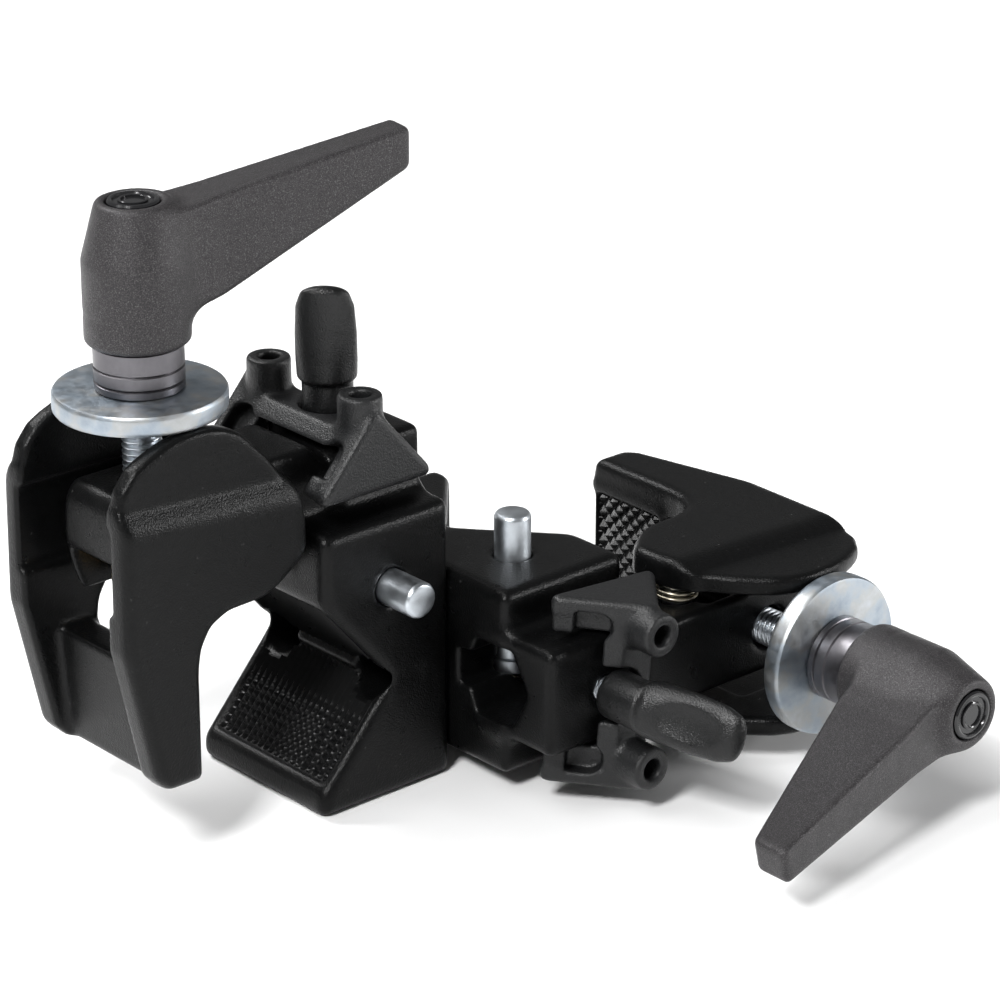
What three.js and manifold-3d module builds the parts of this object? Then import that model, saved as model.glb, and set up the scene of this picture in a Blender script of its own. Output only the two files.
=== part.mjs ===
// Double super clamp: two identical cast grip clamps joined back to back, the second turned 90 degrees.
// Each clamp is drawn in its own frame, in millimetres: u from its back face towards the jaw,
// w from the foot of the V body up to the lever, v across the clamp towards the head of its spring pin.
import * as THREE from 'three';
import { mergeVertices } from 'three/addons/utils/BufferGeometryUtils.js';
import Module from 'manifold-3d';

const wasm = await Module();
wasm.setup();

// ---- driving dimensions --------------------------------------------------------------------------
const FIT = 0.3;                 // gap between pieces that touch
const RUN = 0.06;                // radial clearance of a turning or sliding round fit
const SEGMENTS = 24;             // facets round a plain cylinder

const WIDTH = 40;                // body and jaw, across v
const BODY_FOOT = -1.2;          // w of the flat end the clamp stands on
const BODY_HEIGHT = 59;          // w of the shoulder
const BODY_DEPTH = 32.2;         // back face to the front of the upper half
const NOSE_DEPTH = 33.4;         // back face to the end of the lower nose
const NOSE_HEIGHT = 3.6;
const EDGE = 1.6;                // rounding of the castings' long edges
const V_DEPTH_AT = 15.2;         // u of the V's bottom
const V_CENTRE = 24.1;           // w of the V's bottom
const V_TOP = 43.8;              // w where the upper flank meets the front

const SWIVEL_HEIGHT = 23.2;      // w of the bolt that joins the two backs
const BACK_GAP = 0.5;            // between the two back faces
const SWIVEL_RADIUS = 5;
const SWIVEL_REACH = 11;         // how far the stud goes into each body
const DISC_RADIUS = 10.5;
const DISC_THICKNESS = 1.9;

const SOCKET_FLATS = 16.5;       // hexagonal socket for a 16 mm stud, across flats
const SOCKET_HEIGHT = 55.7;      // w of its axis
const SOCKET_DEPTH = 19.5;
const KEYWAY_HALF = 3.9;         // notch beside the socket, half its size along v
const KEYWAY_FLOOR = 44.8;
const BOSS_TOP = 72.5;
const BOSS_HALF = 11.3;
const BOSS_DEPTH = 21;
const NIPPLE_TOP = 73.2;         // raised ring round the wing screw's hole
const NIPPLE_RADIUS = 3.9;
const NIPPLE_FOOT_RADIUS = 7;

const ARM_START = 26;
const ARM_TOP = 73.6;
const ARM_FOOT = 50.3;
const ARM_HALF = 9.5;
const ARM_SWEEP = 31.4;          // radius of the arm's rounded end about the pivot

const PIVOT_U = 41.2;
const PIVOT_W = 64.6;
const PIVOT_RADIUS = 3.4;
const CAM_RADIUS = 18.7;         // base circle of the jaw's involute cam
const CAM_HEIGHT = 23.4;         // washer plane above the pivot at rest
const JAW_CLOSE = 41 * Math.PI / 180;
const JAW_OPEN = 31 * Math.PI / 180;

const PLATE_INNER = 13.5;        // inner face of each jaw plate, |v|
const PLATE_CAM = 17.6;          // outer face beside the cam
const PLATE_RELIEF = 1.4;        // shallow window in the inner face of each plate
const PAD_U = 62;                // gripping face at rest
const JAW_FOOT = 17.3;
const WEB_TOP = 41.2;
const WEB_OUT = 71.6;
const JAW_OUT = 79.3;

const SCREW_RADIUS = 4;          // M8
const SCREW_END = 51.6;
const NUT_RADIUS = 6.8;
const NUT_FOOT = 52.4;
const NUT_TOP = 65.5;
const WASHER_RADIUS = 16.8;
const WASHER_THICKNESS = 4.2;
const COLLAR_RADIUS = 8.7;
const COLLAR_HEIGHT = 9;
const SPLINE_RADIUS = 6.2;
const HUB_RADIUS = 10.2;
const HUB_TOP_RADIUS = 7.2;
const HUB_HEIGHT = 27.7;
const HUB_SHOULDER = 16.5;       // height of the hub's cylindrical part
const CAP_RADIUS = 5.2;
const LEVER_LENGTH = 58.1;       // screw axis to the end of the arm
const LEVER_TIP_TOP = 33.2;      // above the hub's foot
const LEVER_TIP_HEIGHT = 8.4;
const LEVER_TIP_WIDTH = 7.4;
const LEVER_ANGLE = { left: -9.1 * Math.PI / 180, right: 12 * Math.PI / 180 };

const PIN_RADIUS = 3.75;         // stud-locking spring pin
const PIN_U = 15.1;
const PIN_W = 44.2;
const PIN_HEAD = 9.1;            // stands out of the body's side
const PIN_BORE = 5;              // counterbore for its spring
const PIN_COLLAR_AT = -2;

const WING_U = 14.5;
const WING_ROD = 2.9;            // M6
const WING_HUB = 5.2;
const WING_HUB_HEIGHT = 11;
const WING_FOOT = { left: 73.5, right: 75 };
const WING_TURN = { left: 48 * Math.PI / 180, right: -15 * Math.PI / 180 };

const WEDGE_FOOT = 65.5;
const WEDGE_APEX = 80.8;
const WEDGE_FROM = 5;
const WEDGE_TO = 31;
const WEDGE_HALF = 19.6;
const SADDLE_TOP = 77.4;
const SADDLE_HALF = 10.6;
const PEG_RADIUS = 4.5;
const PEG_BORE = 2.2;
const PEG_POCKET = 7.5;          // how far a peg goes in below the V's bottom
const PEG_TOP = 84.3;
const PEG_OFFSET = 14.2;
const WEDGE_TILT = { left: 0, right: -4.5 * Math.PI / 180 };

const WASHER_FOOT = PIVOT_W + CAM_HEIGHT + 0.02;
const SCREW_U = PIVOT_U + CAM_RADIUS;
const HUB_FOOT = WASHER_FOOT + WASHER_THICKNESS + COLLAR_HEIGHT + FIT;

// ---- finishes ------------------------------------------------------------------------------------
function finish(color, roughness, metalness) {
  return new THREE.MeshStandardMaterial({ color, roughness, metalness });
}
const blackPaint = () => finish(0x0d0e0e, 0.42, 0.3);
const leverGrey = () => finish(0x3a383a, 0.5, 0.55);
const zinc = () => finish(0xb9c0c6, 0.35, 0.9);
const brightSteel = () => finish(0xc9ccce, 0.25, 1);
const brass = () => finish(0xb8954f, 0.3, 1);
const springSteel = () => finish(0x8d8a80, 0.35, 1);
const blackNylon = () => finish(0x2c2e30, 0.7, 0);
const gripBlack = () => finish(0x202224, 0.65, 0);

// ---- shapes --------------------------------------------------------------------------------------
// A closed solid from any three.js geometry, its doubled vertices merged.
function solid(geometry) {
  const bare = geometry.clone();
  for (const name of Object.keys(bare.attributes)) if (name !== 'position') bare.deleteAttribute(name);
  const merged = mergeVertices(bare, 1e-4);
  return new wasm.Manifold(new wasm.Mesh({
    numProp: 3,
    vertProperties: new Float32Array(merged.attributes.position.array),
    triVerts: new Uint32Array(merged.index.array),
  }));
}

function geometryOf(shape) {
  const mesh = shape.getMesh();
  const geometry = new THREE.BufferGeometry();
  geometry.setAttribute('position', new THREE.BufferAttribute(mesh.vertProperties, 3));
  geometry.setIndex(new THREE.BufferAttribute(mesh.triVerts, 1));
  geometry.computeVertexNormals();
  return geometry;
}

// An outline in the u-w plane carried across from v0 to v1, its long edges rounded by `round`.
function slab(points, v0, v1, round = 0) {
  const outline = new THREE.Shape(points.map(([u, w]) => new THREE.Vector2(u, w)));
  const geometry = new THREE.ExtrudeGeometry(outline, {
    depth: v1 - v0 - 2 * round,
    steps: 1,
    curveSegments: 4,
    bevelEnabled: round > 0,
    bevelThickness: round,
    bevelSize: round,
    bevelOffset: -round,
    bevelSegments: 1,
  });
  geometry.rotateX(Math.PI / 2);
  geometry.translate(0, v1 - round, 0);
  return solid(geometry);
}

function block(u0, u1, v0, v1, w0, w1) {
  const geometry = new THREE.BoxGeometry(u1 - u0, v1 - v0, w1 - w0);
  geometry.translate((u0 + u1) / 2, (v0 + v1) / 2, (w0 + w1) / 2);
  return solid(geometry);
}

// A profile of [radius, height] pairs turned about the w axis through (u, v).
function turned(profile, u, v, segments = SEGMENTS) {
  const geometry = new THREE.LatheGeometry(profile.map(([r, h]) => new THREE.Vector2(r, h)), segments);
  geometry.rotateX(Math.PI / 2);
  geometry.translate(u, v, 0);
  return solid(geometry);
}

// The same, turned about an axis along v through (u, w): heights run along +v.
function turnedAcross(profile, u, w, segments = SEGMENTS) {
  const geometry = new THREE.LatheGeometry(profile.map(([r, h]) => new THREE.Vector2(r, h)), segments);
  geometry.translate(u, 0, w);
  return solid(geometry);
}

// The same, turned about an axis along u through (v, w): heights run along +u.
function turnedAlong(profile, v, w, segments = SEGMENTS) {
  const geometry = new THREE.LatheGeometry(profile.map(([r, h]) => new THREE.Vector2(r, h)), segments);
  geometry.rotateZ(-Math.PI / 2);
  geometry.translate(0, v, w);
  return solid(geometry);
}

const rod = (radius, from, to) => [[0, from], [radius, from], [radius, to], [0, to]];
const tube = (inner, outer, from, to) => [
  [inner, from], [outer, from], [outer, to], [inner, to], [inner, from],
];

// A skin over a row of closed convex sections with equal point counts, both ends capped.
function skin(sections) {
  const count = sections[0].length;
  const positions = sections.flat(2);
  const index = [];
  for (let row = 0; row + 1 < sections.length; row += 1) {
    for (let k = 0; k < count; k += 1) {
      const a = row * count + k;
      const b = row * count + (k + 1) % count;
      index.push(a, b, b + count, a, b + count, a + count);
    }
  }
  const last = (sections.length - 1) * count;
  for (let k = 1; k + 1 < count; k += 1) {
    index.push(0, k + 1, k, last, last + k, last + k + 1);
  }
  const geometry = new THREE.BufferGeometry();
  geometry.setAttribute('position', new THREE.Float32BufferAttribute(positions, 3));
  geometry.setIndex(index);
  return solid(geometry);
}

// The centre line of a wire wound on a helix, its heights along v.
class Coil extends THREE.Curve {
  constructor(radius, from, to, turns) {
    super();
    Object.assign(this, { radius, from, to, turns });
  }

  getPoint(t, target = new THREE.Vector3()) {
    const angle = t * this.turns * 2 * Math.PI;
    return target.set(
      this.radius * Math.cos(angle),
      this.from + (this.to - this.from) * t,
      this.radius * Math.sin(angle),
    );
  }
}

function coil(radius, wire, from, to, turns) {
  const sides = 5;
  const section = new THREE.Shape(Array.from({ length: sides }, (_, k) => {
    const angle = k * 2 * Math.PI / sides;
    return new THREE.Vector2(wire * Math.cos(angle), wire * Math.sin(angle));
  }));
  return new THREE.ExtrudeGeometry(section, {
    steps: Math.round(turns * 10),
    extrudePath: new Coil(radius, from + wire, to - wire, turns),
  });
}

function named(name, shape, material) {
  const geometry = shape.isBufferGeometry ? shape : geometryOf(shape);
  const mesh = new THREE.Mesh(geometry, material);
  mesh.name = name;
  return mesh;
}

// ---- body casting: V block, stud boss and the arm that carries the pivot and the screw's nut --------
function vBlock() {
  const vRound = 3.2;
  const rise = (V_TOP - V_CENTRE) / (BODY_DEPTH - V_DEPTH_AT);
  const fall = (V_CENTRE - NOSE_HEIGHT) / (NOSE_DEPTH - V_DEPTH_AT);
  return slab([
    [0, BODY_FOOT], [NOSE_DEPTH, BODY_FOOT], [NOSE_DEPTH, NOSE_HEIGHT],
    [V_DEPTH_AT + vRound, V_CENTRE - fall * vRound],
    [V_DEPTH_AT + vRound * 0.55, V_CENTRE],
    [V_DEPTH_AT + vRound, V_CENTRE + rise * vRound],
    [BODY_DEPTH, V_TOP], [BODY_DEPTH, BODY_HEIGHT - EDGE], [BODY_DEPTH - EDGE, BODY_HEIGHT],
    [0, BODY_HEIGHT],
  ], -WIDTH / 2, WIDTH / 2, EDGE);
}

function armOutline() {
  const points = [[ARM_START - 8, ARM_FOOT]];
  for (let k = 0; k <= 5; k += 1) {
    const angle = (-27 + k * 7.6) * Math.PI / 180;
    points.push([PIVOT_U + ARM_SWEEP * Math.cos(angle), PIVOT_W + ARM_SWEEP * Math.sin(angle)]);
  }
  points.push([PIVOT_U + ARM_SWEEP - 2.6, ARM_TOP], [ARM_START, ARM_TOP], [ARM_START, BODY_HEIGHT - 2],
    [ARM_START - 8, BODY_HEIGHT - 2]);
  return points;
}

function socketCut() {
  const radius = SOCKET_FLATS / Math.sqrt(3);
  const hexagon = new THREE.CylinderGeometry(radius, radius, SOCKET_DEPTH + 2, 6);
  hexagon.rotateZ(Math.PI / 2);
  hexagon.translate(SOCKET_DEPTH / 2 - 1, 0, SOCKET_HEIGHT);
  const keyway = block(-2, SOCKET_DEPTH, -KEYWAY_HALF, KEYWAY_HALF, KEYWAY_FLOOR, SOCKET_HEIGHT);
  return solid(hexagon).add(keyway);
}

function bodyCasting() {
  const boss = block(0, BOSS_DEPTH, -BOSS_HALF, BOSS_HALF, BODY_HEIGHT - 2, BOSS_TOP);
  const nipple = turned([
    [0, BOSS_TOP - 1], [NIPPLE_FOOT_RADIUS, BOSS_TOP - 1], [NIPPLE_FOOT_RADIUS, BOSS_TOP],
    [NIPPLE_RADIUS, NIPPLE_TOP], [0, NIPPLE_TOP],
  ], WING_U, 0);
  let body = vBlock().add(slab(armOutline(), -ARM_HALF, ARM_HALF, 1)).add(boss).add(nipple);
  body = body.subtract(socketCut());
  body = body.subtract(turned(rod(WING_ROD + RUN, SOCKET_HEIGHT, NIPPLE_TOP + 1), WING_U, 0));
  body = body.subtract(turnedAcross(rod(PIN_RADIUS + RUN, PIN_COLLAR_AT, WIDTH / 2 + 1), PIN_U, PIN_W));
  body = body.subtract(turnedAcross(rod(PIN_BORE, -WIDTH / 2 - 1, PIN_COLLAR_AT + FIT), PIN_U, PIN_W));
  body = body.subtract(turnedAcross(rod(PIVOT_RADIUS + RUN, -WIDTH, WIDTH), PIVOT_U, PIVOT_W));
  body = body.subtract(turned(rod(SCREW_RADIUS + 0.6, ARM_FOOT - 2, ARM_TOP + 2), SCREW_U, 0));
  body = body.subtract(turned(rod(NUT_RADIUS + FIT, ARM_FOOT - 2, NUT_TOP + FIT), SCREW_U, 0));
  const nutWindow = NUT_RADIUS + FIT + 0.4;
  body = body.subtract(block(SCREW_U, JAW_OUT, -nutWindow, nutWindow, ARM_FOOT - 2, ARM_FOOT + 9.9));
  body = body.subtract(turnedAlong(rod(SWIVEL_RADIUS + RUN, -1, SWIVEL_REACH + 1), 0, SWIVEL_HEIGHT));
  const recess = (DISC_THICKNESS - BACK_GAP) / 2 + 0.02;
  body = body.subtract(turnedAlong(rod(DISC_RADIUS + FIT, -1, recess), 0, SWIVEL_HEIGHT));
  for (const side of [-1, 1]) {
    const pocket = rod(PEG_RADIUS + FIT, V_DEPTH_AT - PEG_POCKET, NOSE_DEPTH);
    body = body.subtract(turnedAlong(pocket, side * PEG_OFFSET, V_CENTRE, 20));
  }
  return body;
}

// ---- jaw casting: two cam plates joined by the gripping web ----------------------------------------
// The cam is an involute of a circle about the pivot: the washer moves the same distance each degree.
function camCurve() {
  const points = [];
  for (let k = 0; k <= 10; k += 1) {
    const turn = -JAW_OPEN + (JAW_CLOSE + JAW_OPEN) * k / 10;
    const height = CAM_HEIGHT - CAM_RADIUS * turn;
    points.push([
      PIVOT_U + CAM_RADIUS * Math.cos(turn) - height * Math.sin(turn),
      PIVOT_W + CAM_RADIUS * Math.sin(turn) + height * Math.cos(turn),
    ]);
  }
  return points;
}

// The rear edge beside the pivot, then the hollow over the gripped bar down to the foot of the pad.
function jawInside() {
  return [
    [PIVOT_U - 4.6, PIVOT_W + 5.6], [PIVOT_U - 5.8, PIVOT_W - 0.6], [PIVOT_U - 5.8, PIVOT_W - 6.2],
    [PIVOT_U - 4.9, PIVOT_W - 7.6], [PIVOT_U - 2, PIVOT_W - 10.2], [PIVOT_U + 1.6, PIVOT_W - 12.6],
    [PIVOT_U + 5, PIVOT_W - 14], [PAD_U - 7, PIVOT_W - 14.3], [PAD_U - 3, PIVOT_W - 16.2],
    [PAD_U - 0.7, PIVOT_W - 20], [PAD_U, PIVOT_W - 24.6], [PAD_U, JAW_FOOT],
  ];
}

function plateOutline() {
  return [
    [WEB_OUT - 1.2, JAW_FOOT], [WEB_OUT + 1.4, JAW_FOOT + 2.7], [JAW_OUT, JAW_FOOT + 30.7],
    [JAW_OUT - 0.4, PIVOT_W + 10], [JAW_OUT - 1.8, PIVOT_W + 15.5],
    ...camCurve(),
    [PIVOT_U + 2.4, PIVOT_W + 14.6], [PIVOT_U - 1, PIVOT_W + 10],
    ...jawInside(),
  ];
}

function plateauOutline() {
  return [
    [WEB_OUT - 1.2, JAW_FOOT], [WEB_OUT + 1.4, JAW_FOOT + 2.7], [JAW_OUT, JAW_FOOT + 30.7],
    [JAW_OUT - 0.5, PIVOT_W + 12.2], [PIVOT_U - 2.4, PIVOT_W + 9.2],
    ...jawInside(),
  ];
}

function jawCasting() {
  const web = slab([
    [PAD_U, JAW_FOOT], [WEB_OUT - 1.6, JAW_FOOT], [WEB_OUT, WEB_TOP], [PAD_U + 2.6, WEB_TOP],
    [PAD_U, WEB_TOP - 2.2],
  ], -PLATE_INNER - 1, PLATE_INNER + 1);
  let jaw = web;
  for (const side of [-1, 1]) {
    const near = side > 0 ? PLATE_INNER : -PLATE_CAM;
    const far = side > 0 ? PLATE_CAM : -PLATE_INNER;
    jaw = jaw.add(slab(plateOutline(), near, far, 0.4));
    const step = WIDTH / 2 - PLATE_INNER - 1;
    const from = side > 0 ? PLATE_INNER + 1 : -WIDTH / 2;
    jaw = jaw.add(slab(plateauOutline(), from, from + step, EDGE));
    const wall = side > 0 ? PLATE_INNER - 0.01 : -PLATE_INNER - PLATE_RELIEF;
    const reach = wall + PLATE_RELIEF + 0.01;
    jaw = jaw.subtract(block(PIVOT_U + 12, JAW_OUT + 2, wall, reach, PIVOT_W - 9.6, PIVOT_W + 8));
  }
  jaw = jaw.subtract(turnedAcross(rod(PIVOT_RADIUS + RUN, -WIDTH, PLATE_CAM - 0.4), PIVOT_U, PIVOT_W));
  return jaw;
}

const pivotPin = () => turnedAcross([
  [0, -WIDTH / 2 + 0.6], [PIVOT_RADIUS - 0.5, -WIDTH / 2 + 0.6], [PIVOT_RADIUS, -WIDTH / 2 + 1.1],
  [PIVOT_RADIUS, PLATE_CAM - 1.2], [PIVOT_RADIUS - 0.5, PLATE_CAM - 0.7], [0, PLATE_CAM - 0.7],
], PIVOT_U, PIVOT_W);

function openingSpring() {
  const wire = 0.5;
  const geometry = coil(PIVOT_RADIUS + 0.35 + wire, wire, ARM_HALF + 0.15, PLATE_INNER - 0.2, 2.25);
  geometry.translate(PIVOT_U, 0, PIVOT_W);
  return geometry;
}

// ---- clamp screw, nut, washer and ratchet lever -----------------------------------------------------
const clampScrew = () => turned([
  [0, SCREW_END], [SCREW_RADIUS - 0.8, SCREW_END], [SCREW_RADIUS - RUN, SCREW_END + 0.8],
  [SCREW_RADIUS - RUN, HUB_FOOT + 7.4], [0, HUB_FOOT + 7.4],
], SCREW_U, 0);

const brassNut = () => turned(tube(SCREW_RADIUS, NUT_RADIUS, NUT_FOOT, NUT_TOP), SCREW_U, 0);

const washer = () => turned([
  [SCREW_RADIUS + 0.3, WASHER_FOOT], [WASHER_RADIUS - 0.6, WASHER_FOOT], [WASHER_RADIUS, WASHER_FOOT + 0.6],
  [WASHER_RADIUS, WASHER_FOOT + WASHER_THICKNESS - 0.6],
  [WASHER_RADIUS - 0.6, WASHER_FOOT + WASHER_THICKNESS],
  [SCREW_RADIUS + 0.3, WASHER_FOOT + WASHER_THICKNESS], [SCREW_RADIUS + 0.3, WASHER_FOOT],
], SCREW_U, 0, 36);

function leverInsert() {
  const foot = WASHER_FOOT + WASHER_THICKNESS + FIT / 3;
  const bore = SCREW_RADIUS + 0.02;
  return turned([
    [bore, foot], [COLLAR_RADIUS, foot], [COLLAR_RADIUS, foot + 1.6], [COLLAR_RADIUS - 0.35, foot + 1.9],
    [COLLAR_RADIUS, foot + 2.2], [COLLAR_RADIUS, HUB_FOOT - FIT], [SPLINE_RADIUS, HUB_FOOT - FIT],
    [SPLINE_RADIUS, HUB_FOOT + 12], [2.6, HUB_FOOT + 12], [2.6, HUB_FOOT + 7.6], [bore, HUB_FOOT + 7.6],
    [bore, foot],
  ], SCREW_U, 0);
}

const retainingScrew = () => turned([
  [0, HUB_FOOT + 7.9], [2.4, HUB_FOOT + 7.9], [2.4, HUB_FOOT + 22.2], [4.3, HUB_FOOT + 22.2],
  [4.3, HUB_FOOT + 25.4], [2, HUB_FOOT + 25.4], [2, HUB_FOOT + 23.6], [0, HUB_FOOT + 23.6],
], SCREW_U, 0, 20);

function leverSpring() {
  const geometry = coil(3.55, 0.45, HUB_FOOT + 17.5, HUB_FOOT + 22, 3.5);
  geometry.rotateX(Math.PI / 2);
  geometry.translate(SCREW_U, 0, 0);
  return geometry;
}

const leverCap = () => turned([
  [0, HUB_FOOT + HUB_HEIGHT - 1.6], [CAP_RADIUS - 0.2, HUB_FOOT + HUB_HEIGHT - 1.6],
  [CAP_RADIUS - 0.2, HUB_FOOT + HUB_HEIGHT - 0.2], [CAP_RADIUS - 0.8, HUB_FOOT + HUB_HEIGHT + 0.3],
  [0, HUB_FOOT + HUB_HEIGHT + 0.3],
], 0, 0, 24);

// The arm's section at distance r from the screw axis: a chamfered box, h0 to h1 above the hub's foot.
function armSection(r, h0, h1, half, chamfer) {
  const top = HUB_FOOT + h1;
  const foot = HUB_FOOT + h0;
  return [
    [-r, half - chamfer, foot], [-r, chamfer - half, foot], [-r, -half, foot + chamfer],
    [-r, -half, top - chamfer], [-r, chamfer - half, top], [-r, half - chamfer, top],
    [-r, half, top - chamfer], [-r, half, foot + chamfer],
  ];
}

function lever() {
  const hub = turned([
    [0, HUB_FOOT], [HUB_RADIUS, HUB_FOOT], [HUB_RADIUS, HUB_FOOT + HUB_SHOULDER],
    [HUB_RADIUS - 0.5, HUB_FOOT + HUB_SHOULDER + 2], [HUB_TOP_RADIUS + 0.3, HUB_FOOT + HUB_HEIGHT - 0.7],
    [HUB_TOP_RADIUS - 0.4, HUB_FOOT + HUB_HEIGHT], [0, HUB_FOOT + HUB_HEIGHT],
  ], 0, 0, 28);
  const arm = skin([
    armSection(0.5, 2.6, 24.6, 8.2, 3),
    armSection(9, 4.6, 25.4, 6.6, 2.6),
    armSection(16, 7.4, 26.2, 5.4, 1.8),
    armSection(LEVER_LENGTH, LEVER_TIP_TOP - LEVER_TIP_HEIGHT, LEVER_TIP_TOP, LEVER_TIP_WIDTH / 2, 0.7),
  ]);
  const bore = turned(rod(SPLINE_RADIUS + 0.3, HUB_FOOT - 1, HUB_FOOT + 13.4), 0, 0);
  const neck = turned(rod(2.8, HUB_FOOT + 12, HUB_FOOT + 20), 0, 0, 20);
  const well = turned(rod(CAP_RADIUS, HUB_FOOT + HUB_SHOULDER + 0.8, HUB_FOOT + HUB_HEIGHT + 9), 0, 0, 24);
  return hub.add(arm).subtract(bore).subtract(neck).subtract(well);
}

// ---- stud socket hardware ----------------------------------------------------------------------------
const springPin = () => turnedAcross([
  [0, -8], [2, -8], [2, PIN_COLLAR_AT - 3],
  [PIN_BORE - 0.4, PIN_COLLAR_AT - 3], [PIN_BORE - 0.4, PIN_COLLAR_AT],
  [PIN_RADIUS, PIN_COLLAR_AT], [PIN_RADIUS, 4.2], [2.1, 5.2], [2.1, 10], [PIN_RADIUS, 11],
  [PIN_RADIUS, WIDTH / 2 + PIN_HEAD - 0.6], [PIN_RADIUS - 0.6, WIDTH / 2 + PIN_HEAD],
  [0, WIDTH / 2 + PIN_HEAD],
], PIN_U, PIN_W);

function pinSpring() {
  const geometry = coil(3.3, 0.45, -17.2, PIN_COLLAR_AT - 3.1, 4.5);
  geometry.translate(PIN_U, 0, PIN_W);
  return geometry;
}

const pinPlug = () => turnedAcross([
  [0, -WIDTH / 2 + 0.2], [1.6, -WIDTH / 2 + 0.2], [1.6, -WIDTH / 2 + 1.2],
  [PIN_BORE - 0.05, -WIDTH / 2 + 1.2],
  [PIN_BORE - 0.05, -17.4], [0, -17.4],
], PIN_U, PIN_W);

const wingScrew = (foot) => turned([
  [0, foot - 10.3], [WING_ROD - 0.7, foot - 10.3], [WING_ROD, foot - 9.6],
  [WING_ROD, foot + 6], [0, foot + 6],
], WING_U, 0, 20);

// A round hub with one leaf-shaped wing that leans off the axis.
// Each station is the height above the hub's foot, the lean off the axis, half the width and half
// the thickness.
function wingKnob(foot) {
  const hub = turned([
    [0, foot], [WING_HUB - 0.5, foot], [WING_HUB, foot + 0.5],
    [WING_HUB, foot + WING_HUB_HEIGHT], [0, foot + WING_HUB_HEIGHT],
  ], 0, 0);
  const stations = [[8.6, 0.6, 5.2, 4.6], [9.8, 1, 6.1, 5.4], [14, 2, 6.2, 4.3], [20, 3.5, 6.2, 3.3],
    [26, 5, 5.9, 2.6], [29, 5.9, 4.9, 2.1], [30.4, 6.3, 3.2, 1.4]];
  const leaf = skin(stations.map(([height, lean, half, thick]) => Array.from({ length: 16 }, (_, k) => {
    const angle = k * 2 * Math.PI / 16;
    return [lean + thick * Math.cos(angle), half * Math.sin(angle), foot + height];
  })));
  return hub.add(leaf).subtract(turned(rod(WING_ROD + 0.1, foot - 1, foot + 6.3), 0, 0, 20));
}

// ---- plastic wedge that turns the V into a flat seat, parked over the stud boss ---------------------
function wedge() {
  const middle = (WEDGE_FROM + WEDGE_TO) / 2;
  const cut = 1.3;
  let shape = slab([
    [WEDGE_FROM + cut, WEDGE_FOOT], [WEDGE_TO - cut, WEDGE_FOOT], [WEDGE_TO, WEDGE_FOOT + cut],
    [middle + 1.4, WEDGE_APEX], [middle - 1.4, WEDGE_APEX], [WEDGE_FROM, WEDGE_FOOT + cut],
  ], -WEDGE_HALF, WEDGE_HALF, 0.7);
  shape = shape.subtract(block(-5, 45, -SADDLE_HALF, SADDLE_HALF, SADDLE_TOP, WEDGE_APEX + 2));
  for (const side of [-1, 1]) {
    shape = shape.add(turned(rod(PEG_RADIUS, WEDGE_FOOT + 4, PEG_TOP), middle, side * PEG_OFFSET, 24));
    const bore = rod(PEG_BORE, WEDGE_FOOT - 1, PEG_TOP + 1);
    shape = shape.subtract(turned(bore, middle, side * PEG_OFFSET, 16));
  }
  const clear = BOSS_HALF + 0.9;
  shape = shape.subtract(block(-5, 45, -clear, clear, WEDGE_FOOT - 2, ARM_TOP + 0.25));
  const slot = WING_HUB + 0.6;
  shape = shape.subtract(turned(rod(slot, WEDGE_FOOT, SADDLE_TOP + 1), WING_U, 0, 24));
  return shape.subtract(block(-5, WING_U, -slot, slot, WEDGE_FOOT, SADDLE_TOP + 1));
}

// ---- assembly ------------------------------------------------------------------------------------------
function clamp(side) {
  const group = new THREE.Group();
  const add = (name, shape, material) => group.add(named(`${side}_${name}`, shape, material));
  add('body_casting', bodyCasting(), blackPaint());
  add('jaw_casting', jawCasting(), blackPaint());
  add('pivot_pin', pivotPin(), brightSteel());
  add('opening_spring', openingSpring(), springSteel());
  add('clamp_screw', clampScrew(), brightSteel());
  add('brass_nut', brassNut(), brass());
  add('pressure_washer', washer(), zinc());
  add('lever_insert', leverInsert(), leverGrey());
  add('lever_retaining_screw', retainingScrew(), brightSteel());
  add('lever_spring', leverSpring(), springSteel());
  const handle = new THREE.Group();
  handle.position.set(SCREW_U, 0, 0);
  handle.rotation.z = LEVER_ANGLE[side];
  handle.add(named(`${side}_ratchet_lever`, lever(), leverGrey()));
  handle.add(named(`${side}_lever_cap`, leverCap(), gripBlack()));
  group.add(handle);
  add('spring_pin', springPin(), brightSteel());
  add('pin_spring', pinSpring(), springSteel());
  add('pin_plug', pinPlug(), zinc());
  add('wing_screw', wingScrew(WING_FOOT[side]), brightSteel());
  const knob = new THREE.Group();
  knob.position.set(WING_U, 0, 0);
  knob.rotation.z = WING_TURN[side];
  knob.add(named(`${side}_wing_knob`, wingKnob(WING_FOOT[side]), gripBlack()));
  group.add(knob);
  const parked = new THREE.Group();
  parked.position.set(WING_U, 0, 0);
  parked.rotation.z = WEDGE_TILT[side];
  const insert = named(`${side}_wedge_insert`, wedge(), blackNylon());
  insert.position.set(-WING_U, 0, 0);
  parked.add(insert);
  group.add(parked);
  return group;
}

const swivelStud = () => turnedAlong([
  [0, -SWIVEL_REACH], [SWIVEL_RADIUS - 0.8, -SWIVEL_REACH], [SWIVEL_RADIUS, 0.8 - SWIVEL_REACH],
  [SWIVEL_RADIUS, SWIVEL_REACH - 0.8], [SWIVEL_RADIUS - 0.8, SWIVEL_REACH], [0, SWIVEL_REACH],
], 0, 0);
const frictionDisc = () => turnedAlong(
  tube(SWIVEL_RADIUS + 0.1, DISC_RADIUS, -DISC_THICKNESS / 2, DISC_THICKNESS / 2), 0, 0, 32);

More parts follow.
